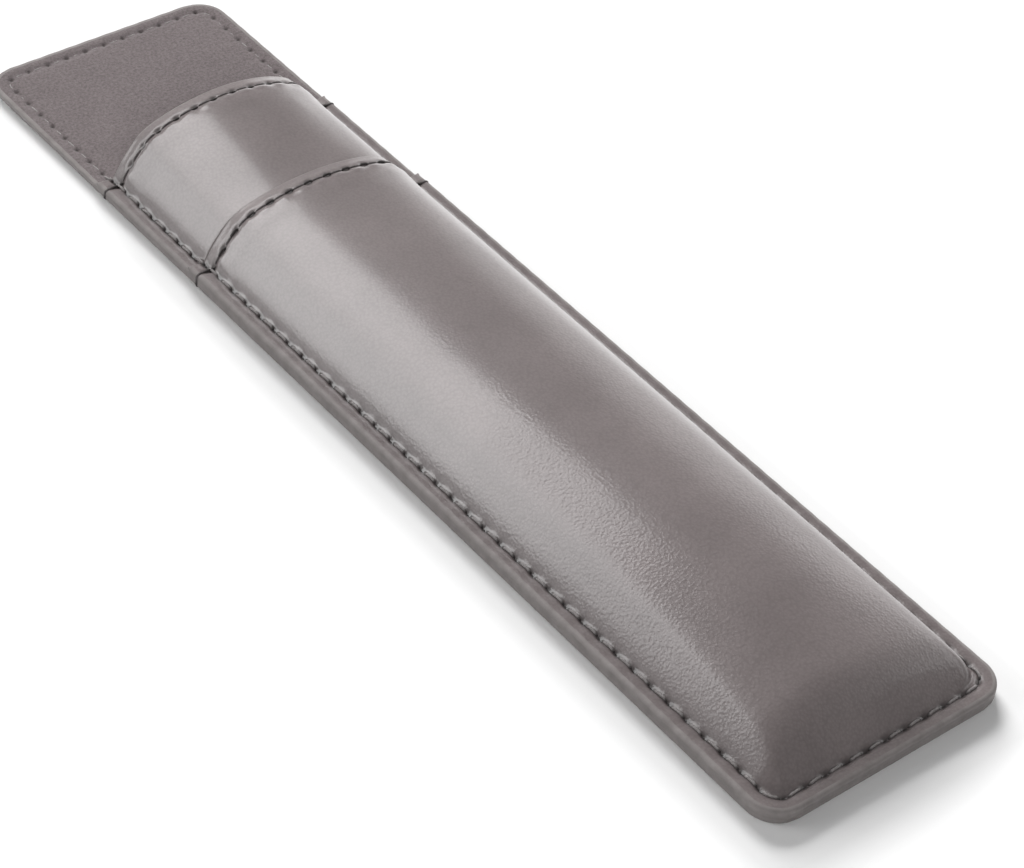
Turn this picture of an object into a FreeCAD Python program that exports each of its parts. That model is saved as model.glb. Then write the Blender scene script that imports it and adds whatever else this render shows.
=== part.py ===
import FreeCAD, Part
import math
import os
from FreeCAD import Vector, Placement, Rotation

# Frame: millimetres, +X across the sleeve, +Y towards the open end, +Z out of the moulded front.
# The back lies on Z = 0 and the outline is centred on X = 0, Y = 0.

# Outline
sleeve_length = 160.0
sleeve_width = 36.5
corner_radius = 4.2

# Layers, from the back to the front
back_thickness = 0.8
stiffener_thickness = 0.4
back_lining_thickness = 0.3
front_lining_thickness = 0.3
inner_front_thickness = 0.5
clip_slot_gap = 0.3
outer_front_thickness = 0.55

# Lips of the two fronts, measured from the open end, and the rows of stitches below them
inner_lip_setback = 28.1
outer_lip_setback = 49.2
lip_stitch_inset = 2.0
lining_lip_setback = 0.4

# Board inside the back
stiffener_inset = 4.7
stiffener_corner_radius = 2.0

# Seams and threads
seam_inset = 2.1
stitch_pitch = 3.0
stitch_gap = 0.6
thread_width = 0.45
needle_thread_height = 0.3
bobbin_thread_height = 0.2
thread_chamfer_share = 0.3
groove_width = 0.75
groove_depth = 0.25
crease_clearance = 0.05
wrap_clearance = 0.05
wrap_foot_height = 0.3

# Moulded form of the outer front: rise of its crest over its margin, its sides and its closed end
front_rise = 7.9
side_angle = 56.5
side_crown_angle = 15.5
side_flat = 4.7
end_angle = 50.0
end_crown_angle = 8.0
end_flat = 3.5
end_run = 36.0
dome_corner_radius = 3.4

# Lift of the inner front in front of the outer lip, and the level stretch behind the inner lip
lip_lift = 0.8
lip_level_length = 5.0

# Places of the cross sections along the closed end
end_flat_shares = (0.03, 0.15, 0.45)
end_shoulder_shares = (0.0, 0.33, 0.67)
end_crown_shares = (0.0, 0.35, 0.7, 1.0)

# Levels of the layers in the margin
lining_level = back_thickness
inner_front_level = lining_level + back_lining_thickness
outer_front_level = inner_front_level + inner_front_thickness
margin_top = outer_front_level + outer_front_thickness

# Faces of the layers as distances from the outer face of the outer front
outer_front_inside = -outer_front_thickness
inner_front_outside = outer_front_inside - clip_slot_gap
inner_front_inside = inner_front_outside - inner_front_thickness
front_lining_inside = inner_front_inside - front_lining_thickness

# Lines that follow from the sizes above
half_width = sleeve_width / 2
half_length = sleeve_length / 2
seam_x = half_width - seam_inset
dome_half_width = seam_x - thread_width / 2 - crease_clearance
dome_end = half_length - seam_inset - thread_width / 2 - crease_clearance
inner_lip = half_length - inner_lip_setback
outer_lip = half_length - outer_lip_setback
stitch_length = stitch_pitch - stitch_gap


def rounded_plate(inset, radius, bottom, thickness):
    """Plate with the outline of the sleeve, set in all round."""
    x = half_width - inset
    y = half_length - inset
    box = Part.makeBox(2 * x, 2 * y, thickness, Vector(-x, -y, bottom))
    upright = [e for e in box.Edges if abs(e.Vertexes[0].Z - e.Vertexes[1].Z) > thickness / 2]
    return box.makeFillet(radius, upright)


def arch_radii(half_base, rise, angle, crown_angle, flat):
    """Crown and shoulder radius of an arch that ends in a straight flank."""
    a = math.radians(angle)
    c = math.radians(crown_angle)
    run = half_base - flat * math.cos(a)
    drop = rise - flat * math.sin(a)
    shoulder_run = math.sin(a) - math.sin(c)
    shoulder_drop = math.cos(c) - math.cos(a)
    crown_drop = 1 - math.cos(c)
    shoulder = (drop * math.sin(c) - run * crown_drop) / (shoulder_drop * math.sin(c) - shoulder_run * crown_drop)
    crown = (run - shoulder * shoulder_run) / math.sin(c)
    return crown, shoulder


def arc(centre, radius, start, end, y):
    """Arc in the plane of a cross section, angles from the upright."""
    points = []
    for angle in (start, (start + end) / 2, end):
        a = math.radians(angle)
        points.append(Vector(centre[0] + radius * math.sin(a), y, centre[1] + radius * math.cos(a)))
    return Part.Arc(*points).toShape()


def arch(half_base, base, rise, full_rise, y):
    """Five edges of one cross section, from the right foot to the left foot."""
    height_share = rise / full_rise
    crown_angle = side_crown_angle * height_share
    crown, shoulder = arch_radii(half_base, rise, side_angle, crown_angle, side_flat * height_share)
    c = math.radians(crown_angle)
    middle = (0, base + rise - crown)
    right = ((crown - shoulder) * math.sin(c), middle[1] + (crown - shoulder) * math.cos(c))
    left = (-right[0], right[1])
    right_arc = arc(right, shoulder, side_angle, crown_angle, y)
    crown_arc = arc(middle, crown, crown_angle, -crown_angle, y)
    left_arc = arc(left, shoulder, -crown_angle, -side_angle, y)
    right_flank = Part.makeLine(Vector(half_base, y, base), right_arc.Vertexes[0].Point)
    left_flank = Part.makeLine(left_arc.Vertexes[1].Point, Vector(-half_base, y, base))
    return [right_flank, right_arc, crown_arc, left_arc, left_flank]


def foot_half_width(offset, level):
    """Half width of a moulded face where it meets the given level of the margin."""
    a = math.radians(side_angle)
    return dome_half_width + offset / math.sin(a) + (margin_top - level) / math.tan(a)


def end_stations(offset, level):
    """Foot of the closed end, and its crest line as (y, z) places up to the level crest."""
    a = math.radians(end_angle)
    crown, shoulder = arch_radii(end_run, front_rise, end_angle, end_crown_angle, end_flat)
    top_y = end_run - dome_end
    crown_centre = (top_y, margin_top + front_rise - crown)
    c = math.radians(end_crown_angle)
    step = crown - shoulder
    shoulder_centre = (crown_centre[0] - step * math.sin(c), crown_centre[1] + step * math.cos(c))
    foot = (-dome_end - offset / math.sin(a) - (margin_top - level) / math.tan(a), level)
    curved = []
    for share in end_shoulder_shares:
        angle = math.radians(end_angle + (end_crown_angle - end_angle) * share)
        curved.append((shoulder_centre, shoulder + offset, angle))
    for share in end_crown_shares:
        angle = math.radians(end_crown_angle * (1 - share))
        curved.append((crown_centre, crown + offset, angle))
    crest = [(o[0] - r * math.sin(t), o[1] + r * math.cos(t)) for o, r, t in curved]
    flat_top = crest[0]
    flank = []
    for share in end_flat_shares:
        flank.append((foot[0] + (flat_top[0] - foot[0]) * share, foot[1] + (flat_top[1] - foot[1]) * share))
    return foot[0], flank + crest


def dome(offset, level, floor):
    """Solid under a moulded face, from the closed end to past the open end of the sleeve."""
    foot, stations = end_stations(offset, level)
    crest = margin_top + front_rise + offset
    full_rise = crest - level
    stations.append((outer_lip, crest))
    stations.append((inner_lip - lip_level_length, crest + lip_lift))
    stations.append((half_length, crest + lip_lift))
    radius = dome_corner_radius + offset
    wires = []
    for y, z in stations:
        short = max(0, radius - (y - foot))
        half_base = foot_half_width(offset, level) - radius + math.sqrt(radius ** 2 - short ** 2)
        edges = arch(half_base, level, z - level, full_rise, y)
        corners = [Vector(-half_base, y, level), Vector(-half_base, y, floor)]
        corners += [Vector(half_base, y, floor), Vector(half_base, y, level)]
        edges += [Part.makeLine(p, q) for p, q in zip(corners, corners[1:])]
        wires.append(Part.Wire(edges))
    return Part.makeLoft(wires, True, True)


def keep(lip, bottom):
    """Box round everything above a level and on the closed side of a lip."""
    corner = Vector(-sleeve_width, -sleeve_length, bottom)
    return Part.makeBox(2 * sleeve_width, sleeve_length + lip, margin_top + 2 * front_rise, corner)


def moulded_front(lip, bottom, thickness, outside):
    """Leather front: flat margin all round and a hollow moulded middle, cut off at its lip."""
    top = bottom + thickness
    blank = rounded_plate(0, corner_radius, bottom, thickness).fuse(dome(outside, top, bottom))
    hollow = dome(outside - thickness, bottom, bottom - thickness)
    return blank.cut(hollow).common(keep(lip, bottom)).removeSplitter()


def make_back_panel(stiffener):
    """Leather back, thinned inside for the board and grooved outside for the lower thread."""
    outer = seam_inset - groove_width / 2
    inner = seam_inset + groove_width / 2
    ring = rounded_plate(outer, corner_radius - outer, 0, groove_depth)
    ring = ring.cut(rounded_plate(inner, corner_radius - inner, 0, groove_depth))
    return rounded_plate(0, corner_radius, 0, back_thickness).cut(ring).cut(stiffener)


def make_back_stiffener():
    """Board let into the inside of the back, flush with its margin."""
    level = back_thickness - stiffener_thickness
    return rounded_plate(stiffener_inset, stiffener_corner_radius, level, stiffener_thickness)


def make_back_lining():
    return rounded_plate(0, corner_radius, lining_level, back_lining_thickness)


def make_front_lining():
    """Lining glued inside the inner front."""
    floor = inner_front_level - front_lining_thickness
    outer = dome(inner_front_inside, inner_front_level, floor)
    inner = dome(front_lining_inside, inner_front_level, floor)
    return outer.cut(inner).common(keep(inner_lip - lining_lip_setback, inner_front_level))


def flat_stitch(length, height):
    """One straight stitch lying on Z = 0 along X, its ends sloping down to the needle holes."""
    end = length / 2
    side = thread_width / 2
    outline = [(-end, 0), (end, 0), (end - height, height), (height - end, height), (-end, 0)]
    face = Part.Face(Part.makePolygon([Vector(x, -side, z) for x, z in outline]))
    return face.extrude(Vector(0, thread_width, 0))


def round_stitch(length, height):
    """The same stitch with the two ridges along its top broken."""
    bar = flat_stitch(length, height)
    ridges = [e for e in bar.Edges if e.BoundBox.ZMin > height / 2 and e.BoundBox.XLength > height]
    return bar.makeChamfer(thread_width * thread_chamfer_share, ridges)


def seam_spans():
    """Middle and direction of each stitch of the seam round the outline."""
    plate = rounded_plate(seam_inset, corner_radius - seam_inset, 0, back_thickness)
    path = max(plate.Faces, key=lambda f: f.CenterOfMass.z).OuterWire
    count = round(path.Length / stitch_pitch)
    holes = path.discretize(Number=count + 1)
    return [((p + q) / 2, math.degrees(math.atan2(q.y - p.y, q.x - p.x))) for p, q in zip(holes, holes[1:])]


def margin_level(y):
    """Level of the margin under a stitch that reaches down to y."""
    if y < outer_lip:
        return margin_top
    if y < inner_lip:
        return outer_front_level
    return inner_front_level


def make_seam_needle_thread():
    stitches = []
    for middle, angle in seam_spans():
        level = margin_level(middle.y - stitch_pitch / 2)
        place = Placement(Vector(middle.x, middle.y, level), Rotation(Vector(0, 0, 1), angle))
        stitches.append(round_stitch(stitch_length, needle_thread_height).transformed(place.toMatrix()))
    return Part.makeCompound(stitches)


def make_seam_bobbin_thread():
    stitches = []
    for middle, angle in seam_spans():
        turn = Rotation(Vector(0, 0, 1), angle).multiply(Rotation(Vector(1, 0, 0), 180))
        place = Placement(Vector(middle.x, middle.y, groove_depth), turn)
        stitches.append(flat_stitch(stitch_length, bobbin_thread_height).transformed(place.toMatrix()))
    return Part.makeCompound(stitches)


def lip_arch(offset, level, lift, y):
    """Cross section of a moulded face near a lip."""
    full_rise = margin_top + front_rise + offset - level
    return arch(foot_half_width(offset, level), level, full_rise + lift, full_rise, y)


def make_lip_thread(lip, lift, inside, height, level):
    """Row of stitches along a lip: a strip on the moulded face, parted at the needle holes."""
    y = lip - lip_stitch_inset - thread_width / 2
    lower = lip_arch(inside, level, lift, y)
    upper = lip_arch(inside + height, level, lift, y)
    lower_wire = Part.Wire(lower)
    upper_wire = Part.Wire(upper)
    feet = [Part.makeLine(lower_wire.Vertexes[i].Point, upper_wire.Vertexes[i].Point) for i in (0, -1)]
    strip = Part.Face(Part.Wire(Part.__sortEdges__(lower + upper + feet))).extrude(Vector(0, thread_width, 0))
    count = round(lower_wire.Length / stitch_pitch)
    holes = lower_wire.discretize(Number=count + 1)
    gap = Part.makeBox(stitch_gap, 2 * thread_width, 4 * height, Vector(-stitch_gap / 2, -thread_width, -2 * height))
    gaps = []
    for before, hole, after in zip(holes[:1] + holes, holes, holes[1:] + holes[-1:]):
        tilt = math.degrees(math.atan2(before.z - after.z, after.x - before.x))
        place = Placement(hole + Vector(0, thread_width / 2, 0), Rotation(Vector(0, 1, 0), tilt))
        gaps.append(gap.transformed(place.toMatrix()))
    return strip.cut(Part.makeCompound(gaps))


def make_mouth_corner_stitches():
    """Stitches over the margin and down the edge at both ends of both lips."""
    wraps = []
    for lip, level in ((inner_lip, outer_front_level), (outer_lip, margin_top)):
        y = lip - lip_stitch_inset - thread_width / 2
        start = seam_x + thread_width / 2 + wrap_clearance
        reach = half_width + needle_thread_height
        across = Part.makeBox(reach - start, thread_width, needle_thread_height, Vector(start, y, level))
        drop = level - wrap_foot_height
        down = Part.makeBox(needle_thread_height, thread_width, drop, Vector(half_width, y, wrap_foot_height))
        wrap = across.fuse(down).removeSplitter()
        wraps += [wrap, wrap.mirror(Vector(0, 0, 0), Vector(1, 0, 0))]
    return Part.makeCompound(wraps)


os.makedirs("parts", exist_ok=True)
back_stiffener = make_back_stiffener()
nodes = {
    "back_panel": make_back_panel(back_stiffener),
    "back_stiffener": back_stiffener,
    "back_lining": make_back_lining(),
    "front_lining": make_front_lining(),
    "inner_front_panel": moulded_front(inner_lip, inner_front_level, inner_front_thickness, inner_front_outside),
    "outer_front_panel": moulded_front(outer_lip, outer_front_level, outer_front_thickness, 0),
    "seam_needle_thread": make_seam_needle_thread(),
    "seam_bobbin_thread": make_seam_bobbin_thread(),
    "inner_mouth_needle_thread": make_lip_thread(
        inner_lip, lip_lift, inner_front_outside, needle_thread_height, outer_front_level),
    "inner_mouth_bobbin_thread": make_lip_thread(
        inner_lip, lip_lift, front_lining_inside - bobbin_thread_height, bobbin_thread_height, inner_front_level),
    "outer_mouth_needle_thread": make_lip_thread(outer_lip, 0, 0, needle_thread_height, margin_top),
    "outer_mouth_bobbin_thread": make_lip_thread(
        outer_lip, 0, outer_front_inside - bobbin_thread_height, bobbin_thread_height, outer_front_level),
    "mouth_corner_stitches": make_mouth_corner_stitches(),
}
for name, shape in nodes.items():
    shape.exportStep("parts/" + name + ".step")
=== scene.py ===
import math

import bpy
import numpy as np
from mathutils import Matrix, Vector


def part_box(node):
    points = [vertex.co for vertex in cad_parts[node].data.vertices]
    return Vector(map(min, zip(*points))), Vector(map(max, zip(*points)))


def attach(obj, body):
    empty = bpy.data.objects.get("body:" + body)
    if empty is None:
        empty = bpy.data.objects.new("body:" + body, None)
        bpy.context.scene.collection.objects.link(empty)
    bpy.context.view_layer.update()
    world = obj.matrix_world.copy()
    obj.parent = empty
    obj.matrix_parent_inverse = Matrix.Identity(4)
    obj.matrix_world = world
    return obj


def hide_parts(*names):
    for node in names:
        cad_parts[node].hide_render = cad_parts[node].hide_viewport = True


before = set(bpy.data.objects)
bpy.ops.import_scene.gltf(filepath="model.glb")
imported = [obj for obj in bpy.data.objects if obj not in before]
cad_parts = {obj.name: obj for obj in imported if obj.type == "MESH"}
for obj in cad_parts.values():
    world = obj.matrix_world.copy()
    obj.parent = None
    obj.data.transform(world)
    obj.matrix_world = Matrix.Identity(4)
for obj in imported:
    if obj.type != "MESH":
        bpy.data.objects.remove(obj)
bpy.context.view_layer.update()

# Frame: metres, +X across the sleeve, +Y towards the open end, +Z out of the moulded front.

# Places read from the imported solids
half_width, half_length, lining_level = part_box("back_panel")[1]
inner_front_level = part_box("back_lining")[1][2]
inner_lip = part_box("inner_front_panel")[1][1]
outer_lip, outer_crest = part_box("outer_front_panel")[1][1:]
outer_front_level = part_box("outer_front_panel")[0][2]

# Outline and leather
corner_radius = 0.0042
inner_front_thickness = 0.0005
outer_front_thickness = 0.00055
lining_thickness = 0.0003
clip_slot_gap = 0.0003

# Moulded form of the outer front: its sides and its closed end
side_angle = 56.5
side_crown_angle = 15.5
side_flat = 0.0047
end_angle = 50.0
end_crown_angle = 8.0
end_flat = 0.0035
end_run = 0.036
dome_corner_radius = 0.0034
lip_lift = 0.0008
lip_level_length = 0.005
band_foot_width = 0.0035
flank_bulge = 0.00015
foot_blend = 0.00012
hip_blend = 0.0005
slope_step = 0.00005

# Seam round the outline and rows along the lips
seam_inset = 0.0021
stitch_pitch = 0.003
lip_stitch_inset = 0.002
first_hole = 0.02074
seam_crease = 0.000275

# Relief that the stitches press into the leather; hole_shade and trench_shade set the painted shade that
# darkens its needle holes and groove
trench_depth = 0.00008
trench_width = 0.00045
hole_depth = 0.0003
hole_width = 0.00028
hole_length = 0.0007
hole_shade = 1.15
trench_shade = 0.05
pillow_height = 0.00009
pillow_width = 0.0007
pillow_place = 0.0012
lip_trench_depth = 0.00012
lip_trench_width = 0.0004
lip_hole_depth = 0.00028
lip_hole_width = 0.00042
lip_curl = -0.00026
lip_curl_width = 0.0014
dull_width = 0.0004
dull_start = -0.02
grain_full = -0.045
puff_height = 0.00012
puff_width = 0.0016
puff_place = 0.0019
scallop_height = 0.00012
scallop_width = 0.0005
scallop_place = 0.0008
pucker_share = 0.4
press_share = 0.8
wave_height = 0.00004
wave_length_x = 0.021
wave_length_y = 0.047

# Edges: how far the faces stop short of the outline, and the radii of the corners
edge_rim = 0.0006
exposed_radius = 0.0005
back_radius = 0.0006
lining_radius = 0.00028
covered_radius = 0.000005
lip_rim = 0.0002
lip_radius = 0.0002

# Spacing of the mesh points
fine_step = 0.00021
seam_step = 0.0003
middle_step = 0.00036
hidden_step = 0.002
fine_band = 0.0034
back_step = 0.0016
rim_points = 5
lining_columns = 126
sharp_angle = 50.0

# Threads
thread_radius = 0.00015
lip_thread_radius = 0.00015
bobbin_radius = 0.00016
thread_rise = 0.00006
thread_dive = 0.0020
deepest_dive = 0.0005
# Middle share of each stitch left unshaded, and the share over which painted shade darkens its ends in
# the holes
unshaded_thread_share = 0.40
thread_shade_ramp = 0.16
dive_power = 4.0
soft_sink = 0.00024
stitch_slant = 0.0001
bobbin_dive = 0.00025
wrap_radius = 0.00018
wrap_foot = 0.0003
thread_wander = 0.00003
ply_depth_share = 0.13
plies = 3
turns_per_stitch = 1.6
tube_sides = 12
tube_points = 21
wrap_bend_points = 3
seed = 7

# Camera
camera_place = (-0.190255, -0.218102, 0.249365)
camera_azimuth = -42.81
camera_elevation = 41.94
camera_roll = 6.56
camera_lens = 108.347
sensor_width = 36.0
camera_near = 0.01

# Studio
floor_half_size = 2.0
floor_drop = 0.00002
overhead_place = (-0.38, 1.13, 1.24)
overhead_size = (1.64, 0.98)
overhead_power = 22.0
left_place = (-1.20, 1.20, 0.685)
left_size = (1.28, 1.11)
left_power = 18.0
right_place = (1.30, 0.90, 0.22)
right_size = (1.60, 0.44)
right_power = 2.9
key_place = (0.80, 1.52, 1.02)
key_size = (1.10, 1.10)
key_power = 65.0
floor_key_place = (0.84, 1.75, 0.80)
floor_key_power = 99.0
front_place = (-0.70, -1.50, 1.10)
front_size = (1.0, 0.8)
front_power = 13.0
world_strength = 0.17

# Glow over the right softbox: its place over the floor, and height and power of each step
glow_place = (1.30, 0.60)
glow_size = (1.00, 0.18)
glow_steps = ((0.53, 0.72), (0.71, 0.46), (0.89, 0.19))

# Glows that the closed end sees: place, size and power
end_glows = (((1.34, -0.48, 0.78), (1.40, 0.52), 5.5), ((1.32, 0.43, 0.68), (0.46, 0.44), 0.9))

# Painted glow that lifts the floor to white away from the sleeve and cuts off its shadow's far tail: the
# half box that it keeps clear, and where and how much it lifts
floor_reach = (0.0215, 0.0850, 0.0)
lift_start = 0.0
lift_end = 0.007
lift_strength = 0.3

# Noises of the materials: scale, detail and roughness
leather_clouds = (90.0, 4.0, 0.6)
leather_pores = (5200.0, 2.0, 0.5)
flesh_fibres = (2600.0, 5.0, 0.7)
suede_nap = (2600.0, 4.0, 0.75)
suede_clouds = (160.0, 3.0, 0.6)
edge_streaks = (700.0, 3.0, 0.6)
thread_fibres = (4200.0, 3.0, 0.7)
board_fibres = (1500.0, 5.0, 0.7)
floor_clouds = (3.0, 2.0, 0.5)

# Cells of the leather grain: scale, how far they wander and how soft their creases are
grain_scale = 2800.0
grain_wander = 0.00027
grain_smoothness = 0.6

# Colours over those noises: place and colour of each stop
leather_tones = ((0.3, (0.160, 0.1365, 0.1355)), (0.7, (0.194, 0.1665, 0.1650)))
crease_tones = ((0.25, (1.0, 1.0, 1.0)), (0.75, (0.82, 0.81, 0.81)))
pore_tones = ((0.2, (0.85, 0.85, 0.85)), (0.8, (1.15, 1.15, 1.15)))
flesh_tones = ((0.3, (0.11, 0.095, 0.094)), (0.7, (0.17, 0.15, 0.148)))
suede_tones = (
    (0.28, (0.098, 0.082, 0.083)), (0.5, (0.158, 0.134, 0.136)), (0.74, (0.223, 0.194, 0.196)))
suede_shades = ((0.3, (0.9, 0.9, 0.9)), (0.7, (1.0, 1.0, 1.0)))
edge_tones = ((0.3, (0.184, 0.167, 0.163)), (0.7, (0.238, 0.219, 0.214)))
grey_thread_tones = ((0.3, (0.166, 0.153, 0.151)), (0.7, (0.305, 0.285, 0.281)))
# The seam's grey thread in a darkened copy, painted shade for the deep groove of the mouth rows
shade_darkened_thread_tones = ((0.3, (0.055, 0.048, 0.048)), (0.7, (0.12, 0.107, 0.106)))
board_tones = ((0.3, (0.22, 0.20, 0.17)), (0.7, (0.32, 0.29, 0.25)))
floor_tones = ((0.0, (0.83, 0.83, 0.83)), (1.0, (0.85, 0.85, 0.85)))
# Dark colours that the painted shade of needle holes, grooves and stitch ends mixes towards
painted_shade_leather = (0.032, 0.026, 0.025, 1.0)
painted_shade_suede = (0.034, 0.028, 0.027, 1.0)
painted_shade_on_threads = (0.028, 0.023, 0.022, 1.0)
white = (1.0, 1.0, 1.0, 1.0)

# Gloss of the materials; the leather's runs from its open end to its closed end
outer_gloss = 0.62
band_gloss = 0.5
crease_share = 0.8
leather_roughness = ((0.31, 0.31, 0.31, 1.0), (0.36, 0.36, 0.36, 1.0))
lip_roughness = (0.5, 0.5, 0.5, 1.0)
coat_weights = (0.65, 0.2)
coat_roughness = 0.12
edge_roughness = (0.42, 0.58)
edge_gloss = 0.25
raw_roughness = 0.9
suede_roughness = 0.95
suede_gloss = 0.15
suede_sheen = 0.12
suede_sheen_roughness = 0.5
thread_roughness = 0.65
thread_sheen = 0.1
floor_gloss = 0.1

# Bumps of the materials: strength and height; the leather's grain gets stronger to the closed end
grain_strengths = (0.06, 0.20)
grain_height = 0.0001
pore_bump = (0.12, 0.00004)
flesh_bump = (0.5, 0.00008)
suede_bump = (0.55, 0.0001)
edge_bump = (0.12, 0.00008)
thread_bump = (0.3, 0.00004)
board_bump = (0.3, 0.00006)

# Levels and lines that follow from the sizes above
margin_top = outer_front_level + outer_front_thickness
front_rise = outer_crest - margin_top
seam_x = half_width - seam_inset
seam_y = half_length - seam_inset
seam_radius = corner_radius - seam_inset
dome_half_width = seam_x - seam_crease
dome_end = seam_y - seam_crease
outer_inside = -outer_front_thickness
inner_outside = outer_inside - clip_slot_gap
inner_inside = inner_outside - inner_front_thickness
lining_inside = inner_inside - lining_thickness
straight_x = seam_x - seam_radius
straight_y = seam_y - seam_radius
quarter_seam = straight_y + seam_radius * math.pi / 2 + straight_x
stitch_count = round(4 * quarter_seam / stitch_pitch)
seam_pitch = 4 * quarter_seam / stitch_count
seam_start = (2 * quarter_seam - first_hole) % seam_pitch
row_samples = 2 * stitch_count
no_lip = 2 * half_length
random = np.random.default_rng(seed)


# Form of the moulded fronts

def arch_radii(half_base, rise, angle, crown_angle, flat):
    """Crown and shoulder radius of an arch that ends in a straight flank."""
    a = np.radians(angle)
    c = np.radians(crown_angle)
    run = half_base - flat * np.cos(a)
    drop = rise - flat * np.sin(a)
    shoulder_run = np.sin(a) - np.sin(c)
    shoulder_drop = np.cos(c) - np.cos(a)
    crown_drop = 1 - np.cos(c)
    spare = drop * np.sin(c) - run * crown_drop
    shoulder = spare / (shoulder_drop * np.sin(c) - shoulder_run * crown_drop)
    crown = (run - shoulder * shoulder_run) / np.sin(c)
    return crown, shoulder


def half_round(radius, offset):
    """Height of a circle over its centre."""
    return np.sqrt(np.maximum(radius ** 2 - offset ** 2, 0))


def eased(share):
    return share * share * (3 - 2 * share)


def end_foot(offset, level):
    """Where a moulded face starts to rise at the closed end."""
    a = math.radians(end_angle)
    return -dome_end - offset / math.sin(a) - (margin_top - level) / math.tan(a)


def foot_half_width(offset, level):
    """Half width of a moulded face where it meets the given level of the margin."""
    a = math.radians(side_angle)
    return dome_half_width + offset / math.sin(a) + (margin_top - level) / math.tan(a)


def crest_line(y, offset, level):
    """Height of the crest of a moulded face over its margin, running on below its foot."""
    a = math.radians(end_angle)
    c = math.radians(end_crown_angle)
    crown, shoulder = arch_radii(end_run, front_rise, end_angle, end_crown_angle, end_flat)
    top = end_run - dome_end
    middle = margin_top + front_rise - crown
    shoulder_y = top - (crown - shoulder) * math.sin(c)
    shoulder_z = middle + (crown - shoulder) * math.cos(c)
    slope = (y - end_foot(offset, level)) * math.tan(a)
    bend = shoulder_z + half_round(shoulder + offset, y - shoulder_y) - level
    dome = middle + half_round(crown + offset, np.minimum(y - top, 0)) - level
    height = np.where(y < shoulder_y - (shoulder + offset) * math.sin(a), slope, bend)
    height = np.where(y > top - (crown + offset) * math.sin(c), dome, height)
    lift = np.clip((y - outer_lip) / (inner_lip - lip_level_length - outer_lip), 0, 1)
    return height + lip_lift * eased(lift)


def section_height(x, y, offset, level):
    """Height of a moulded face over its margin, running on below its foot."""
    rise = crest_line(y, offset, level)
    full = margin_top + front_rise + offset - level
    share = np.maximum(rise, slope_step) / full
    radius = dome_corner_radius + offset
    short = np.clip(radius - (y - end_foot(offset, level)), 0, radius)
    half_base = foot_half_width(offset, level) - radius + half_round(radius, short)
    crown_angle = side_crown_angle * share
    flat = side_flat * share
    crown, shoulder = arch_radii(half_base, share * full, side_angle, crown_angle, flat)
    a = math.radians(side_angle)
    c = np.radians(crown_angle)
    across = np.abs(x)
    middle = share * full - crown
    top = middle + half_round(crown, across)
    shoulder_x = (crown - shoulder) * np.sin(c)
    bend = middle + (crown - shoulder) * np.cos(c) + half_round(shoulder, across - shoulder_x)
    flank = (half_base - across) * math.tan(a)
    up_flank = np.clip((half_base - across) / (flat * math.cos(a)), 0, 1)
    flank = flank + flank_bulge * share * np.sin(math.pi * up_flank) / math.cos(a)
    height = np.where(across < half_base - flat * math.cos(a), bend, flank)
    height = np.where(across < crown * np.sin(c), top, height)
    return np.minimum(height, rise)


def moulded(offset, level):
    """Height field of a moulded face: level margin, crease and dome with softened hips."""
    def height(x, y):
        near = [(0, 0), (hip_blend, 0), (-hip_blend, 0), (0, hip_blend), (0, -hip_blend)]
        raised = sum(section_height(x + dx, y + dy, offset, level) for dx, dy in near) / len(near)
        return level + foot_blend * np.logaddexp(raised / foot_blend, 0)
    return height


def level_field(level):
    """Height field of a flat layer."""
    def height(x, y):
        return np.full(np.broadcast(x, y).shape, level)
    return height


# Lines of stitches

def seam_coordinates(x, y):
    """How far points lie inside the seam line, and how far along it they are."""
    px = np.abs(x)
    py = np.abs(y)
    beside = (seam_x - px < seam_y - py) & (py <= straight_y)
    rounded = (px > straight_x) & (py > straight_y)
    turn = np.arctan2(py - straight_y, px - straight_x)
    inside = np.where(beside, seam_x - px, seam_y - py)
    along = np.where(beside, py, quarter_seam - px)
    inside = np.where(rounded, seam_radius - np.hypot(px - straight_x, py - straight_y), inside)
    along = np.where(rounded, straight_y + seam_radius * turn, along)
    along = np.where(x >= 0, along, 2 * quarter_seam - along)
    return inside, np.where(y >= 0, along, 4 * quarter_seam - along)


def seam_points(along):
    """Places on the seam line, counted as in seam_coordinates."""
    along = along % (4 * quarter_seam)
    lower = along > 2 * quarter_seam
    part = np.where(lower, 4 * quarter_seam - along, along)
    left = part > quarter_seam
    part = np.where(left, 2 * quarter_seam - part, part)
    turn = np.clip((part - straight_y) / seam_radius, 0, math.pi / 2)
    x = straight_x + seam_radius * np.cos(turn)
    y = np.minimum(part, straight_y) + seam_radius * np.sin(turn)
    x = np.where(part > quarter_seam - straight_x, quarter_seam - part, x)
    return np.where(left, -x, x), np.where(lower, -y, y)


def from_nearest(along, start, pitch):
    """Signed distance to the nearest needle hole of a row."""
    return (along - start + pitch / 2) % pitch - pitch / 2


def bell(distance, width):
    return np.exp(-(distance / width) ** 2)


def seam_relief(x, y):
    """Relief that the seam presses into the top layer, and painted shade darkening its needle holes and
    groove.
    """
    inside, along = seam_coordinates(x, y)
    step = from_nearest(along, seam_start, seam_pitch)
    trench = bell(inside, trench_width)
    length = np.where(y > inner_lip, hole_width, hole_length)
    hole = bell(np.hypot(inside / hole_width, step / length), 1)
    pull = (1 - pucker_share * np.cos(2 * math.pi * step / seam_pitch)) / (1 + pucker_share)
    pillow = bell(inside + pillow_place, pillow_width) * pull
    relief = pillow_height * pillow - trench_depth * trench - hole_depth * hole
    return relief, np.clip(hole_shade * hole + trench_shade * trench, 0, 1)


def mouth_row(height, lip):
    """Places along the row of stitches below a lip: x over arc length, row y and hole pitch."""
    row = lip - lip_stitch_inset
    x = np.linspace(-dome_half_width, dome_half_width, row_samples)
    z = height(x, np.full_like(x, row))
    along = np.concatenate([[0], np.cumsum(np.hypot(np.diff(x), np.diff(z)))])
    count = round(along[-1] / stitch_pitch)
    return x, along, row, along[-1] / count, count


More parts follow.
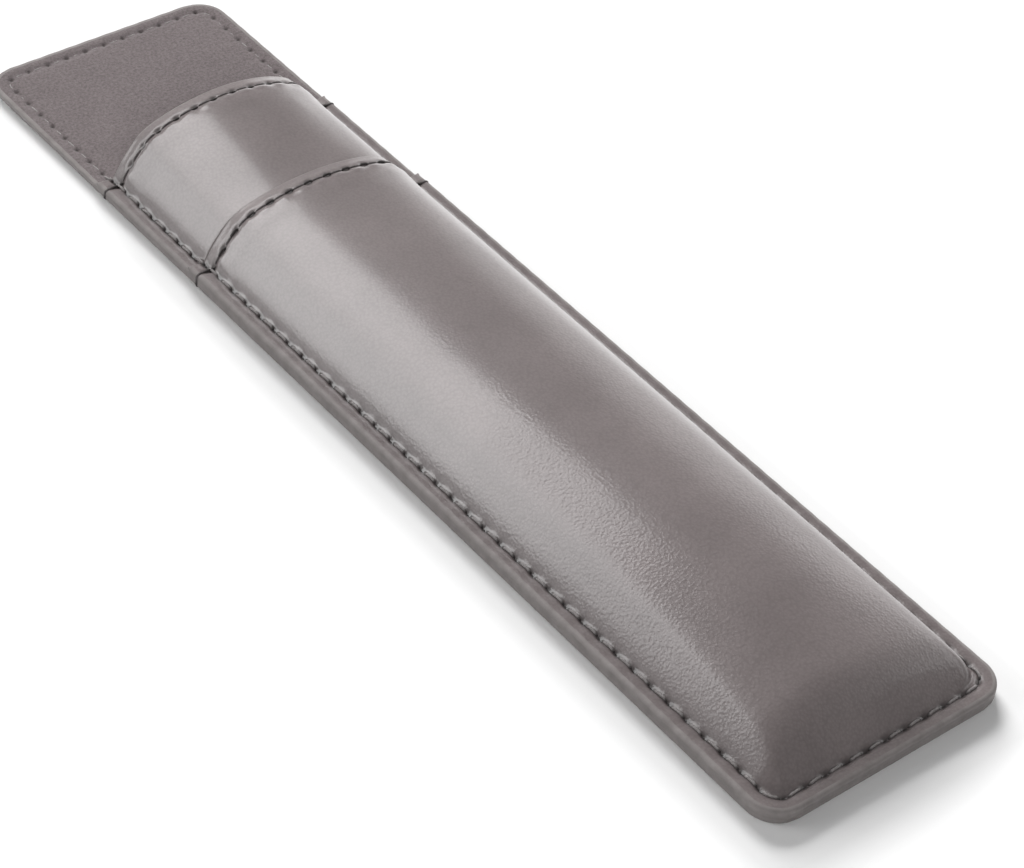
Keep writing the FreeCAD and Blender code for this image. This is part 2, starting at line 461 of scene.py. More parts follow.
def lip_relief(x, y, height, lip):
    """Relief along a lip: curled edge, sewn row and the leather puffing up behind it; painted shade in
    the row's holes and groove.
    """
    places, lengths, row, pitch, _ = mouth_row(height, lip)
    step = from_nearest(np.interp(x, places, lengths), 0, pitch)
    behind = row - y
    trench = bell(behind, lip_trench_width)
    hole = bell(np.hypot(behind, step), lip_hole_width)
    pull = (1 - np.cos(2 * math.pi * step / pitch)) / 2
    curl = lip_curl * bell(lip - y, lip_curl_width)
    puff = puff_height * bell(behind - puff_place, puff_width)
    scallop = scallop_height * bell(behind - scallop_place, scallop_width) * pull
    relief = curl + puff + scallop - lip_trench_depth * trench - lip_hole_depth * hole
    on_dome = np.clip((dome_half_width - np.abs(x)) / seam_inset + 1, 0, 1)
    return relief * on_dome, np.clip(hole_shade * hole + trench_shade * trench, 0, 1) * on_dome


def waves(x, y):
    """Slow unevenness of hand-moulded leather."""
    first = np.sin(2 * math.pi * (x / wave_length_x + y / wave_length_y))
    second = np.sin(2 * math.pi * (y / wave_length_x - x / wave_length_y))
    return wave_height * (first + second) / 2


def normals(height, x, y):
    """Upward normals of a height field."""
    dx = (height(x + slope_step, y) - height(x - slope_step, y)) / (2 * slope_step)
    dy = (height(x, y + slope_step) - height(x, y - slope_step)) / (2 * slope_step)
    up = np.stack([-dx, -dy, np.ones_like(dx)], axis=-1)
    return up / np.linalg.norm(up, axis=-1, keepdims=True)


def band_height():
    """Height field of the inner front, with its foot drawn out to the seam where it lies bare."""
    plain = moulded(inner_outside, outer_front_level)
    drawn = moulded(0, margin_top)

    def height(x, y):
        inside, _ = seam_coordinates(x, y)
        near = np.clip(2 - inside / band_foot_width, 0, 1)
        bare = np.clip((y - outer_lip) / outer_front_thickness + 1, 0, 1)
        rise = drawn(x, y) - outer_front_thickness - plain(x, y)
        return plain(x, y) + bare * eased(near) * rise
    return height


def plain_face(height):
    """Face of a panel that follows a height field."""
    def points(x, y):
        return np.stack([x, y, height(x, y)], axis=-1), np.zeros_like(x)
    return points


def front_face(height, lip, thickness):
    """Outer face of a moulded front with its seam, its lip and its slow waves."""
    def points(x, y):
        relief, shade = seam_relief(x, y)
        at_lip, lip_shade = lip_relief(x, y, height, lip)
        raised = np.maximum(relief + at_lip, -press_share * thickness)
        raised += waves(x, y) * (height(x, y) - height(half_width, outer_lip)) / front_rise
        flat = np.stack([x, y, height(x, y)], axis=-1)
        return flat + normals(height, x, y) * raised[..., None], np.maximum(shade, lip_shade)
    return points


def sewn_face(level, thickness):
    """Upper face of a flat layer under the seam."""
    def points(x, y):
        relief, shade = seam_relief(x, y)
        return np.stack([x, y, level + np.maximum(relief, -press_share * thickness)], axis=-1), shade
    return points


def grooved_face(level):
    """Underside of the back with the line of the seam pressed in, and painted shade darkening that
    groove.
    """
    def points(x, y):
        inside, _ = seam_coordinates(x, y)
        trench = bell(inside, trench_width)
        return np.stack([x, y, level + trench_depth * trench], axis=-1), trench_shade * trench
    return points


# Meshes

def graded(*bands):
    """Rising values through bands of (start, end, step)."""
    runs = [np.linspace(a, b, max(2, round((b - a) / step) + 1))[:-1] for a, b, step in bands]
    return np.concatenate(runs + [[bands[-1][1]]])


def mirrored(values):
    return np.concatenate([-values[:0:-1], values])


def column_shares(middle):
    """Columns across the sleeve as shares of its half width, closer together near the seams."""
    edge = half_width - edge_rim
    return mirrored(graded((0, edge - fine_band, middle), (edge - fine_band, edge, fine_step))) / edge


def outline_half_width(y, inset):
    """Half width of the outline, set in all round."""
    radius = corner_radius - inset
    short = np.clip(np.abs(y) - (half_length - corner_radius), 0, radius)
    return half_width - corner_radius + half_round(radius, short)


def around(grid):
    """Values on the border of a grid, once round from its first corner."""
    return np.concatenate([grid[0, :-1], grid[:-1, -1], grid[-1, :0:-1], grid[:0:-1, 0]])


def border_reach(x, y, lip):
    """How far and which way the border of a panel's face stands in from the panel's outline."""
    radius = corner_radius - edge_rim
    short = np.clip(np.abs(y) - (half_length - corner_radius), 0, radius)
    reach = np.zeros(x.shape + (3,))
    for column in (0, -1):
        side = np.sign(x[:, column])
        end = np.sign(y[:, column])
        reach[:, column, 0] = side * edge_rim * half_round(radius, short[:, column]) / radius
        reach[:, column, 1] = end * edge_rim * short[:, column] / radius
    reach[0, :, :2] = (0, -edge_rim)
    reach[-1, :, 1] = lip_rim if lip else edge_rim
    if not lip:
        reach[-1, :, 0] = 0
    return reach


def rim_loops(upper, lower, reach, upper_radius, lower_radius):
    """Loops of points round the edge of a panel, from its upper to its lower face."""
    thickness = np.linalg.norm(upper - lower, axis=1, keepdims=True)
    width = np.linalg.norm(reach, axis=1, keepdims=True)
    corners = (
        (upper_radius, np.linspace(math.pi / 2, 0, rim_points)[1:], 0, 1),
        (lower_radius, np.linspace(0, math.pi / 2, rim_points)[:-1], 1, -1))
    loops = []
    for corner, angles, start, way in corners:
        radius = np.minimum(corner[:, None], width)
        for angle in angles:
            out = 1 - radius / width * (1 - math.cos(angle))
            down = start + way * radius / thickness * (1 - math.sin(angle))
            loops.append(upper + (lower - upper) * down + reach * out)
    return loops


def grid_faces(rows, columns, start, upwards):
    """Quads of a grid of points."""
    first = start + np.arange(rows - 1)[:, None] * columns + np.arange(columns - 1)
    quads = np.stack([first, first + 1, first + columns + 1, first + columns], axis=-1).reshape(-1, 4)
    return quads if upwards else quads[:, ::-1]


def strip_faces(upper, lower):
    """Quads between closed loops of point numbers, which run along the first axis."""
    return np.stack([upper, lower, np.roll(lower, -1, axis=0), np.roll(upper, -1, axis=0)], axis=-1)


def make_piece(name, points, faces, face_materials, materials, shade, replaced):
    """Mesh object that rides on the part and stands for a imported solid."""
    mesh = bpy.data.meshes.new(name)
    mesh.from_pydata(points.tolist(), [], faces)
    for material in materials:
        mesh.materials.append(material)
    mesh.polygons.foreach_set("material_index", np.asarray(face_materials, dtype=np.int32))
    # Per-point painted shade of needle holes, grooves and stitch ends, for the materials
    mesh.attributes.new("painted_shade", "FLOAT", "POINT").data.foreach_set("value", shade.astype(np.float32))
    mesh.validate()
    mesh.shade_smooth()
    mesh.set_sharp_from_angle(angle=math.radians(sharp_angle))
    piece = bpy.data.objects.new(name, mesh)
    bpy.context.scene.collection.objects.link(piece)
    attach(piece, "root")
    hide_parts(replaced)
    return piece


def make_panel(name, rows, columns, lip, top, bottom, radii, materials, replaced):
    """Closed panel between two faces with rounded edges; its materials are for top, rim and bottom."""
    x = columns * outline_half_width(rows, edge_rim)[:, None]
    y = np.repeat(rows[:, None], len(columns), axis=1)
    upper, upper_shade = top(x, y)
    lower, lower_shade = bottom(x, y)
    reach = around(border_reach(x, y, lip))
    border_y = around(y)
    upper_radius, lower_radius = radii(border_y)
    loops = rim_loops(around(upper), around(lower), reach, upper_radius, lower_radius)
    size = x.size
    numbers = np.arange(size).reshape(x.shape)
    ring = len(reach)
    rings = [around(numbers)]
    rings += [2 * size + ring * i + np.arange(ring) for i in range(len(loops))]
    rings.append(size + around(numbers))
    quads = [grid_faces(*x.shape, 0, True), grid_faces(*x.shape, size, False)]
    quads += [strip_faces(a, b) for a, b in zip(rings, rings[1:])]
    kinds = [0] * len(quads[0]) + [2] * len(quads[1]) + [1] * (ring * (len(rings) - 1))
    points = np.concatenate([upper.reshape(-1, 3), lower.reshape(-1, 3)] + loops)
    shade = np.concatenate([upper_shade.ravel(), lower_shade.ravel(), np.zeros(ring * len(loops))])
    faces = np.concatenate(quads).tolist()
    return make_piece(name, points, faces, kinds, materials, shade, replaced)


def make_tubes(name, centres, ups, radius, material, replaced):
    """Group of stitches: tubes along rows of points, twisted from plies, with painted shade on their
    ends.
    """
    count, length = centres.shape[:2]
    tangent = np.gradient(centres, axis=1)
    tangent /= np.linalg.norm(tangent, axis=2, keepdims=True)
    side = np.cross(ups, tangent)
    side /= np.linalg.norm(side, axis=2, keepdims=True)
    up = np.cross(tangent, side)
    turn = np.linspace(0, 2 * math.pi, tube_sides, endpoint=False)
    along = np.linspace(0, 1, length)
    start = random.uniform(0, 2 * math.pi, (count, 1, 1))
    twist = 2 * math.pi * turns_per_stitch * along[None, :, None] + start
    ply = 1 + ply_depth_share * np.cos(plies * turn[None, None, :] - plies * twist)
    reach = radius * ply
    ring = side[:, :, None] * np.cos(turn)[:, None] + up[:, :, None] * np.sin(turn)[:, None]
    points = centres[:, :, None] + ring * reach[..., None]
    numbers = np.arange(points[..., 0].size).reshape(points.shape[:3])
    near = numbers[:, :-1].reshape(-1, tube_sides).T
    far = numbers[:, 1:].reshape(-1, tube_sides).T
    quads = strip_faces(near, far)
    faces = quads.reshape(-1, 4)[:, ::-1].tolist()
    faces += numbers[:, 0].tolist() + numbers[:, -1, ::-1].tolist()
    # Painted shade: the stitch ends darken where they dive into the needle holes
    painted_end_shade = np.clip((np.abs(2 * along - 1) - unshaded_thread_share) / thread_shade_ramp, 0, 1)
    shade = np.broadcast_to(painted_end_shade[None, :, None], numbers.shape).ravel()
    return make_piece(
        name, points.reshape(-1, 3), faces, [0] * len(faces), [material], shade, replaced)


# Pieces of the sleeve

def margin_level(y):
    """Top of the margin at each y."""
    above_lip = np.where(y < inner_lip, outer_front_level, inner_front_level)
    return np.where(y < outer_lip, margin_top, above_lip)


def covered_by(cover, radius):
    """Edge radii of a layer that is bare only past the lip of the one over it."""
    def radii(y):
        return np.where(y > cover, radius, covered_radius), np.full_like(y, covered_radius)
    return radii


def front_radii(cover):
    """Edge radii of a front: round where bare, sharp where covered, round on both sides of its lip."""
    def radii(y):
        at_lip = y >= y.max() - slope_step
        bare = np.where(y > cover, exposed_radius, covered_radius)
        return np.where(at_lip, lip_radius, bare), np.where(at_lip, lip_radius, covered_radius)
    return radii


def make_outer_front(leather, edge, flesh):
    end = -half_length + edge_rim
    lip = outer_lip - lip_rim
    rows = graded(
        (end, end + fine_band, fine_step), (end + fine_band, lip - fine_band, seam_step),
        (lip - fine_band, lip, fine_step))
    face = front_face(moulded(0, margin_top), outer_lip, outer_front_thickness)
    back = plain_face(moulded(outer_inside, outer_front_level))
    return make_panel(
        "outer_front", rows, column_shares(middle_step), True, face, back, front_radii(-half_length),
        [leather, edge, flesh], "outer_front_panel")


def make_inner_front(leather, edge, flesh):
    end = -half_length + edge_rim
    lip = inner_lip - lip_rim
    bare = outer_lip - fine_band
    bend = end + corner_radius
    rows = graded(
        (end, bend, seam_step), (bend, bare, hidden_step), (bare, lip - fine_band, seam_step),
        (lip - fine_band, lip, fine_step))
    face = front_face(band_height(), inner_lip, inner_front_thickness)
    back = plain_face(moulded(inner_inside, inner_front_level))
    return make_panel(
        "inner_front", rows, column_shares(middle_step), True, face, back, front_radii(outer_lip),
        [leather, edge, flesh], "inner_front_panel")


def make_back_lining(suede, edge):
    end = half_length - edge_rim
    bare = inner_lip - fine_band
    bend = corner_radius - end
    rows = graded(
        (-end, bend, seam_step), (bend, bare, hidden_step), (bare, end - fine_band, seam_step),
        (end - fine_band, end, fine_step))
    face = sewn_face(inner_front_level, lining_thickness)
    back = plain_face(level_field(lining_level))
    return make_panel(
        "back_lining_cloth", rows, column_shares(middle_step), False, face, back,
        covered_by(inner_lip, lining_radius), [suede, edge, suede], "back_lining")


def back_radii(y):
    return np.full_like(y, covered_radius), np.full_like(y, back_radius)


def make_back(leather, edge, flesh):
    end = half_length - edge_rim
    rows = mirrored(graded((0, end - fine_band, back_step), (end - fine_band, end, fine_step)))
    face = plain_face(level_field(lining_level))
    return make_panel(
        "back", rows, column_shares(back_step), False, face, grooved_face(0), back_radii,
        [flesh, edge, leather], "back_panel")


def stitch_dive(share):
    """How deep a stitch lies along its length, from one needle hole to the next."""
    return np.minimum(thread_dive * np.abs(2 * share - 1) ** dive_power, deepest_dive)


def seam_stitch_places():
    """Shares along a stitch of the seam, and their places on each stitch."""
    share = np.linspace(0, 1, tube_points)
    holes = seam_start + seam_pitch * np.arange(stitch_count)
    return share, *seam_points(holes[:, None] + seam_pitch * share)


def make_seam_stitches(material):
    """Upper thread of the seam: one stitch from each needle hole to the next."""
    share, x, y = seam_stitch_places()
    ends = margin_level(y[:, :1]) * (1 - share) + margin_level(y[:, -1:]) * share
    dive = stitch_dive(share) + soft_sink * (y > inner_lip)
    z = ends + thread_rise - dive + random.uniform(-thread_wander, thread_wander, (stitch_count, 1))
    centres = np.stack([x, y, z], axis=-1)
    centres[:, :, :2] += random.uniform(-thread_wander, thread_wander, (stitch_count, 1, 2))
    ups = np.broadcast_to((0.0, 0.0, 1.0), centres.shape)
    across = np.cross(ups, np.gradient(centres, axis=1))
    across /= np.linalg.norm(across, axis=2, keepdims=True)
    centres += across * (stitch_slant * (2 * share - 1))[:, None]
    return make_tubes(
        "seam_stitches", centres, ups, thread_radius, material, "seam_needle_thread")


def make_seam_back_stitches(material):
    """Lower thread of the seam in the groove of the back."""
    share, x, y = seam_stitch_places()
    z = bobbin_radius + bobbin_dive * np.abs(2 * share - 1) ** dive_power
    centres = np.stack([x, y, np.broadcast_to(z, x.shape)], axis=-1)
    ups = np.broadcast_to((0.0, 0.0, 1.0), centres.shape)
    return make_tubes(
        "seam_back_stitches", centres, ups, bobbin_radius, material, "seam_bobbin_thread")


def make_mouth_stitches(name, height, lip, side, radius, material, replaced):
    """Row of stitches along a lip, on the outer side (1) or the inner side (-1) of its leather."""
    places, lengths, row, pitch, count = mouth_row(height, lip)
    share = np.linspace(0, 1, tube_points)
    along = pitch * (np.arange(count)[:, None] + share)
    x = np.interp(along, lengths, places)
    y = np.full_like(x, row)
    up = normals(height, x, y) * side
    lift = thread_rise - lip_trench_depth - stitch_dive(share)
    centres = np.stack([x, y, height(x, y)], axis=-1) + up * lift[None, :, None]
    return make_tubes(name, centres, up, radius, material, replaced)


def make_mouth_wraps(material):
    """Stitches over the margin and round the edge at both ends of both lips."""
    paths = []
    for lip, level in ((inner_lip, outer_front_level), (outer_lip, margin_top)):
        line = [(seam_x, level - 2 * wrap_radius), (seam_x + wrap_radius, level)]
        for angle in np.linspace(math.pi / 2, 0, wrap_bend_points):
            out = half_width - exposed_radius * (1 - math.cos(angle))
            line.append((out, level - exposed_radius * (1 - math.sin(angle))))
        line += [(half_width, 2 * wrap_foot), (half_width - wrap_radius, wrap_foot)]
        line = np.array(line)
        steps = np.linspace(0, len(line) - 1, tube_points)
        x = np.interp(steps, np.arange(len(line)), line[:, 0])
        z = np.interp(steps, np.arange(len(line)), line[:, 1])
        y = np.full_like(x, lip - lip_stitch_inset)
        for side in (1, -1):
            paths.append(np.stack([side * x, y, z], axis=-1))
    centres = np.array(paths)
    ups = np.broadcast_to((0.0, 1.0, 0.0), centres.shape)
    return make_tubes(
        "mouth_wraps", centres, ups, wrap_radius, material, "mouth_corner_stitches")


def make_front_lining(suede, edge):
    """Lining glued inside the inner front, foot to foot and down into the closed end."""
    shares = np.sin(np.linspace(-math.pi / 2, math.pi / 2, lining_columns))
    start = end_foot(lining_inside, inner_front_level) + slope_step
    bend = start + end_run
    rows = graded((start, bend, hidden_step / 2), (bend, inner_lip - 2 * lip_rim, hidden_step))
    faces = []
    for offset in (inner_inside, lining_inside):
        radius = dome_corner_radius + offset
        short = np.clip(radius - (rows - end_foot(offset, inner_front_level)), 0, radius)
        base = foot_half_width(offset, inner_front_level) - radius + half_round(radius, short)
        x = shares * base[:, None]
        y = np.repeat(rows[:, None], len(shares), axis=1)
        z = inner_front_level + np.maximum(section_height(x, y, offset, inner_front_level), 0)
        faces.append(np.stack([x, y, z], axis=-1))
    upper, lower = faces
    numbers = np.arange(upper[..., 0].size).reshape(upper.shape[:2])
    quads = [grid_faces(*numbers.shape, 0, True), grid_faces(*numbers.shape, numbers.size, False)]
    quads.append(strip_faces(around(numbers), around(numbers) + numbers.size))
    kinds = [0] * (2 * len(quads[0])) + [1] * len(quads[2])
    points = np.concatenate([upper.reshape(-1, 3), lower.reshape(-1, 3)])
    return make_piece(
        "front_lining_cloth", points, np.concatenate(quads).tolist(), kinds, [suede, edge],
        np.zeros(len(points)), "front_lining")


# Materials

def new_material(name):
    """New material with its nodes and links, its shader and the coordinates of its object."""
    material = bpy.data.materials.new(name)
    material.use_nodes = True
    nodes = material.node_tree.nodes
    place = nodes.new("ShaderNodeTexCoord").outputs["Object"]
    return material, nodes, material.node_tree.links, nodes["Principled BSDF"], place


def noise(nodes, links, place, kind):
    """Noise of a kind: its scale, detail and roughness."""
    scale, detail, roughness = kind
    node = nodes.new("ShaderNodeTexNoise")
    node.inputs["Scale"].default_value = scale
    node.inputs["Detail"].default_value = detail
    node.inputs["Roughness"].default_value = roughness
    links.new(place, node.inputs["Vector"])
    return node.outputs["Fac"]


def ramp(nodes, links, value, stops):
    """Colours over a value; stops are (place, colour)."""
    node = nodes.new("ShaderNodeValToRGB")
    elements = node.color_ramp.elements
    while len(elements) < len(stops):
        elements.new(1.0)
    for element, (place, colour) in zip(elements, stops):
        element.position = place
        element.color = (*colour, 1.0)
    links.new(value, node.inputs["Fac"])
    return node.outputs["Color"]


def between(nodes, links, value, low, high):
    """Value from 0 to 1 spread over a range."""
    node = nodes.new("ShaderNodeMapRange")
    node.inputs["To Min"].default_value = low
    node.inputs["To Max"].default_value = high
    links.new(value, node.inputs["Value"])
    return node.outputs["Result"]


def mixed(nodes, links, share, first, second, blend="MIX"):
    """Mix of two colours by a share; its colour sockets share their names, so they go by number."""
    node = nodes.new("ShaderNodeMix")
    node.data_type = "RGBA"
    node.blend_type = blend
    sockets = (node.inputs["Factor"], node.inputs[6], node.inputs[7])
    for socket, value in zip(sockets, (share, first, second)):
        if isinstance(value, (float, tuple)):
            socket.default_value = value
        else:
            links.new(value, socket)
    return node.outputs[2]


def bump(nodes, links, height, strength, distance, under=None):
    node = nodes.new("ShaderNodeBump")
    if isinstance(strength, float):
        node.inputs["Strength"].default_value = strength
    else:
        links.new(strength, node.inputs["Strength"])
    node.inputs["Distance"].default_value = distance
    links.new(height, node.inputs["Height"])
    if under is not None:
        links.new(under, node.inputs["Normal"])
    return node.outputs["Normal"]


def pebbles(nodes, links, place):
    """Cells of leather grain with soft creases between them."""
    drift = nodes.new("ShaderNodeTexNoise")
    drift.inputs["Scale"].default_value = grain_scale / 2
    links.new(place, drift.inputs["Vector"])
    shift = nodes.new("ShaderNodeVectorMath")
    shift.operation = "MULTIPLY_ADD"
    shift.inputs[1].default_value = (grain_wander, grain_wander, grain_wander)
    links.new(drift.outputs["Color"], shift.inputs[0])
    links.new(place, shift.inputs[2])
    cells = nodes.new("ShaderNodeTexVoronoi")
    cells.feature = "SMOOTH_F1"
    cells.inputs["Scale"].default_value = grain_scale
    cells.inputs["Smoothness"].default_value = grain_smoothness
    links.new(shift.outputs["Vector"], cells.inputs["Vector"])
    return cells.outputs["Distance"]


# Painted shade stored on the points of each piece
def painted_shade_attribute(nodes):
    node = nodes.new("ShaderNodeAttribute")
    node.attribute_name = "painted_shade"
    return node.outputs["Fac"]


def along_sleeve(nodes, links, place, start, end):
    """Rises from 0 at one y to 1 at another."""
    parts = nodes.new("ShaderNodeSeparateXYZ")
    links.new(place, parts.inputs["Vector"])
    spread = nodes.new("ShaderNodeMapRange")
    spread.inputs["From Min"].default_value = start
    spread.inputs["From Max"].default_value = end
    links.new(parts.outputs["Y"], spread.inputs["Value"])
    return spread.outputs["Result"]


def leather_material(name, lip, gloss):
    """Grey leather, grainier to the closed end, dull at its lip, with painted shade in holes and
    grooves.
    """
    material, nodes, links, shader, place = new_material(name)
    clouds = noise(nodes, links, place, leather_clouds)
    colour = ramp(nodes, links, clouds, leather_tones)
    grain = pebbles(nodes, links, place)
    creases = ramp(nodes, links, grain, crease_tones)
    colour = mixed(nodes, links, crease_share, colour, creases, "MULTIPLY")
    colour = mixed(nodes, links, painted_shade_attribute(nodes), colour, painted_shade_leather)
    links.new(colour, shader.inputs["Base Color"])
    pores = noise(nodes, links, place, leather_pores)
    worn = along_sleeve(nodes, links, place, outer_lip, grain_full)
    dulled = along_sleeve(nodes, links, place, dull_start, -half_length)
    dull = mixed(nodes, links, dulled, *leather_roughness)
    row = lip - lip_stitch_inset
    folded = along_sleeve(nodes, links, place, row - dull_width, row)
    dull = mixed(nodes, links, folded, dull, lip_roughness)
    speckle = ramp(nodes, links, pores, pore_tones)
    links.new(mixed(nodes, links, 1.0, dull, speckle, "MULTIPLY"), shader.inputs["Roughness"])
    shader.inputs["Specular IOR Level"].default_value = gloss
    links.new(between(nodes, links, dulled, *coat_weights), shader.inputs["Coat Weight"])
    shader.inputs["Coat Roughness"].default_value = coat_roughness
    under = bump(nodes, links, grain, between(nodes, links, worn, *grain_strengths), grain_height)
    relief = bump(nodes, links, pores, *pore_bump, under)
    links.new(relief, shader.inputs["Normal"])
    links.new(relief, shader.inputs["Coat Normal"])
    return material


def raw_material(name, kind, tones, relief):
    """Matt material of loose fibres, for the inner side of the leather and for the board."""
    material, nodes, links, shader, place = new_material(name)
    fibres = noise(nodes, links, place, kind)
    links.new(ramp(nodes, links, fibres, tones), shader.inputs["Base Color"])
    shader.inputs["Roughness"].default_value = raw_roughness
    links.new(bump(nodes, links, fibres, *relief), shader.inputs["Normal"])
    return material


def suede_material():
    """Brushed grey lining with a short nap, and painted shade in its needle holes and seam groove."""
    material, nodes, links, shader, place = new_material("grey_suede_lining")
    nap = noise(nodes, links, place, suede_nap)
    clouds = noise(nodes, links, place, suede_clouds)
    colour = ramp(nodes, links, nap, suede_tones)
    shade = ramp(nodes, links, clouds, suede_shades)
    colour = mixed(nodes, links, 1.0, colour, shade, "MULTIPLY")
    colour = mixed(nodes, links, painted_shade_attribute(nodes), colour, painted_shade_suede)
    links.new(colour, shader.inputs["Base Color"])
    shader.inputs["Roughness"].default_value = suede_roughness
    shader.inputs["Specular IOR Level"].default_value = suede_gloss
    shader.inputs["Sheen Weight"].default_value = suede_sheen
    shader.inputs["Sheen Roughness"].default_value = suede_sheen_roughness
    links.new(bump(nodes, links, nap, *suede_bump), shader.inputs["Normal"])
    return material


def edge_material():
    """Burnished and sealed edge of the leather."""
    material, nodes, links, shader, place = new_material("sealed_leather_edge")
    streaks = noise(nodes, links, place, edge_streaks)
    links.new(ramp(nodes, links, streaks, edge_tones), shader.inputs["Base Color"])
    links.new(between(nodes, links, streaks, *edge_roughness), shader.inputs["Roughness"])
    shader.inputs["Specular IOR Level"].default_value = edge_gloss
    links.new(bump(nodes, links, streaks, *edge_bump), shader.inputs["Normal"])
    return material


def thread_material(name, tones):
    """Spun thread with loose fibres, darkened with painted shade at the stitch ends."""
    material, nodes, links, shader, place = new_material(name)
    fibres = noise(nodes, links, place, thread_fibres)
    colour = ramp(nodes, links, fibres, tones)
    colour = mixed(nodes, links, painted_shade_attribute(nodes), colour, painted_shade_on_threads)
    links.new(colour, shader.inputs["Base Color"])
    shader.inputs["Roughness"].default_value = thread_roughness
    shader.inputs["Sheen Weight"].default_value = thread_sheen
    links.new(bump(nodes, links, fibres, *thread_bump), shader.inputs["Normal"])
    return material


# Floor, lights and camera

def away_from_sleeve(nodes, links, place):
    """Rises from 0 beside the sleeve to the full painted glow of the floor further off."""
    steps = (
        ("ABSOLUTE", None), ("SUBTRACT", floor_reach), ("MAXIMUM", (0.0, 0.0, 0.0)), ("LENGTH", None))
    for operation, operand in steps:
        node = nodes.new("ShaderNodeVectorMath")
        node.operation = operation
        links.new(place, node.inputs[0])
        if operand:
            node.inputs[1].default_value = operand
        place = node.outputs["Value" if operation == "LENGTH" else "Vector"]
    spread = nodes.new("ShaderNodeMapRange")
    spread.inputs["From Min"].default_value = lift_start
    spread.inputs["From Max"].default_value = lift_end
    spread.inputs["To Max"].default_value = lift_strength
    links.new(place, spread.inputs["Value"])
    return spread.outputs["Result"]


def floor_material():
    """White floor that keeps the shadow beside the sleeve, with a painted glow lifting it to white
    further off.
    """
    material, nodes, links, shader, place = new_material("white_floor")
    clouds = noise(nodes, links, place, floor_clouds)
    links.new(ramp(nodes, links, clouds, floor_tones), shader.inputs["Base Color"])
    shader.inputs["Roughness"].default_value = raw_roughness
    shader.inputs["Specular IOR Level"].default_value = floor_gloss
    # Painted glow, for camera and glossy rays only, that cuts off the far tail of the sleeve's shadow
    path = nodes.new("ShaderNodeLightPath")
    seen = nodes.new("ShaderNodeMath")
    seen.operation = "MAXIMUM"
    links.new(path.outputs["Is Camera Ray"], seen.inputs[0])
    links.new(path.outputs["Is Glossy Ray"], seen.inputs[1])
    lift = nodes.new("ShaderNodeMath")
    lift.operation = "MULTIPLY"
    links.new(seen.outputs[0], lift.inputs[0])
    links.new(away_from_sleeve(nodes, links, place), lift.inputs[1])
    shader.inputs["Emission Color"].default_value = white
    links.new(lift.outputs[0], shader.inputs["Emission Strength"])
    return material


def make_floor():
    mesh = bpy.data.meshes.new("floor")
    corners = ((-1, -1), (1, -1), (1, 1), (-1, 1))
    points = [(floor_half_size * x, floor_half_size * y, -floor_drop) for x, y in corners]
    mesh.from_pydata(points, [], [(0, 1, 2, 3)])
    mesh.materials.append(floor_material())
    floor = bpy.data.objects.new("floor", mesh)
    bpy.context.scene.collection.objects.link(floor)
    return floor


def make_world():
    """Soft grey surroundings that look white where they are seen."""
    world = bpy.data.worlds.new("studio")
    bpy.context.scene.world = world
    world.use_nodes = True
    nodes = world.node_tree.nodes
    links = world.node_tree.links
    path = nodes.new("ShaderNodeLightPath")
    strength = nodes.new("ShaderNodeMapRange")
    strength.inputs["To Min"].default_value = world_strength
    strength.inputs["To Max"].default_value = 1.0
    links.new(path.outputs["Is Camera Ray"], strength.inputs["Value"])
    nodes["Background"].inputs["Color"].default_value = white
    links.new(strength.outputs["Result"], nodes["Background"].inputs["Strength"])


def make_area_light(name, place, facing, size, power, in_gloss, in_diffuse):
    """Softbox that gloss or matt surfaces may be set not to see."""
    data = bpy.data.lights.new(name, "AREA")
    data.shape = "RECTANGLE"
    data.size, data.size_y = size
    data.energy = power
    light = bpy.data.objects.new(name, data)
    light.location = place
    light.visible_glossy = in_gloss
    light.visible_diffuse = in_diffuse
    light.rotation_euler = Vector(facing).to_track_quat("-Z", "Y").to_euler()
    bpy.context.scene.collection.objects.link(light)
    return light


def link_to_floor(light, floor, state):
    """Lets a light fall on the floor alone, or on everything but the floor."""
    receivers = bpy.data.collections.new(light.name + "_receivers")
    receivers.objects.link(floor)
    receivers.collection_objects[0].light_linking.link_state = state
    light.light_linking.receiver_collection = receivers


def make_lights(floor):
    """Softboxes that give the gloss its form, keys for sleeve and floor, and a weak fill in front."""
    down = (0, 0, -1)
    leftwards = (-1, 0, 0)
    make_area_light("overhead_softbox", overhead_place, down, overhead_size, overhead_power, True, False)
    make_area_light("left_softbox", left_place, (1, 0, 0), left_size, left_power, True, True)
    make_area_light("right_softbox", right_place, leftwards, right_size, right_power, True, True)
    for height, power in glow_steps:
        make_area_light("right_glow", (*glow_place, height), leftwards, glow_size, power, True, False)
    for place, size, power in end_glows:
        make_area_light("end_glow", place, leftwards, size, power, True, False)
    keys = (
        ("key_light", key_place, key_power, "EXCLUDE"),
        ("floor_key_light", floor_key_place, floor_key_power, "INCLUDE"))
    for name, place, power, state in keys:
        key = make_area_light(name, place, [-v for v in place], key_size, power, False, True)
        link_to_floor(key, floor, state)
    facing = [-v for v in front_place]
    make_area_light("front_fill", front_place, facing, front_size, front_power, False, True)


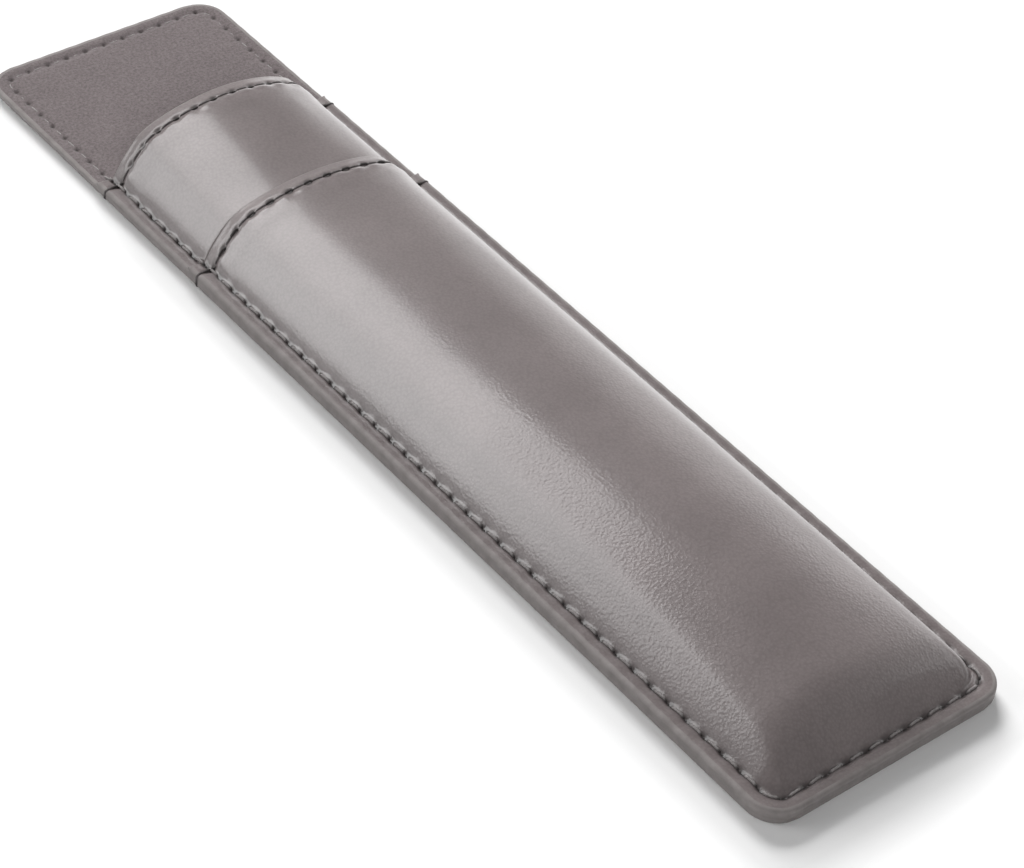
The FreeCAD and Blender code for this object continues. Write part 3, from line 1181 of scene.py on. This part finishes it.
def make_camera():
    """Camera at the angle of the photograph, turned a little about its own axis."""
    angles = (camera_azimuth, camera_elevation, camera_roll)
    azimuth, elevation, roll = (math.radians(angle) for angle in angles)
    level = math.cos(elevation)
    back = Vector((math.sin(azimuth) * level, -math.cos(azimuth) * level, math.sin(elevation)))
    flat_right = Vector((0, 0, 1)).cross(back).normalized()
    flat_up = back.cross(flat_right)
    right = flat_right * math.cos(roll) + flat_up * math.sin(roll)
    up = flat_up * math.cos(roll) - flat_right * math.sin(roll)
    data = bpy.data.cameras.new("camera")
    data.lens = camera_lens
    data.sensor_width = sensor_width
    data.sensor_fit = "HORIZONTAL"
    data.clip_start = camera_near
    camera = bpy.data.objects.new("camera", data)
    turn = Matrix((right, up, back)).transposed().to_4x4()
    camera.matrix_world = Matrix.Translation(camera_place) @ turn
    bpy.context.scene.collection.objects.link(camera)
    bpy.context.scene.camera = camera


# Making of the sleeve and its studio

make_camera()
outer_leather = leather_material("outer_front_leather", outer_lip, outer_gloss)
inner_leather = leather_material("inner_front_leather", inner_lip, band_gloss)
back_leather = leather_material("back_leather", no_lip, outer_gloss)
flesh = raw_material("leather_flesh_side", flesh_fibres, flesh_tones, flesh_bump)
suede = suede_material()
edge = edge_material()
thread = thread_material("grey_thread", grey_thread_tones)
# Darkened copy of the grey thread, painted shade for the mouth rows' groove; the wraps share it
dark_thread = thread_material("dark_thread", shade_darkened_thread_tones)
board = raw_material("grey_fibreboard", board_fibres, board_tones, board_bump)
make_back(back_leather, edge, flesh)
back_lining = make_back_lining(suede, edge)
front_lining = make_front_lining(suede, edge)
make_inner_front(inner_leather, edge, flesh)
make_outer_front(outer_leather, edge, flesh)
make_seam_stitches(thread)
make_seam_back_stitches(thread)
make_mouth_stitches(
    "inner_mouth_stitches", band_height(), inner_lip, 1, lip_thread_radius,
    dark_thread, "inner_mouth_needle_thread")
make_mouth_stitches(
    "inner_mouth_inside_stitches", moulded(lining_inside, inner_front_level), inner_lip, -1,
    bobbin_radius, dark_thread, "inner_mouth_bobbin_thread")
make_mouth_stitches(
    "outer_mouth_stitches", moulded(0, margin_top), outer_lip, 1, lip_thread_radius,
    dark_thread, "outer_mouth_needle_thread")
make_mouth_stitches(
    "outer_mouth_inside_stitches", moulded(outer_inside, outer_front_level), outer_lip, -1,
    bobbin_radius, dark_thread, "outer_mouth_bobbin_thread")
make_mouth_wraps(dark_thread)
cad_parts["back_stiffener"].data.materials.clear()
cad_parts["back_stiffener"].data.materials.append(board)

make_world()
make_lights(make_floor())
bpy.context.scene.view_settings.view_transform = "Standard"
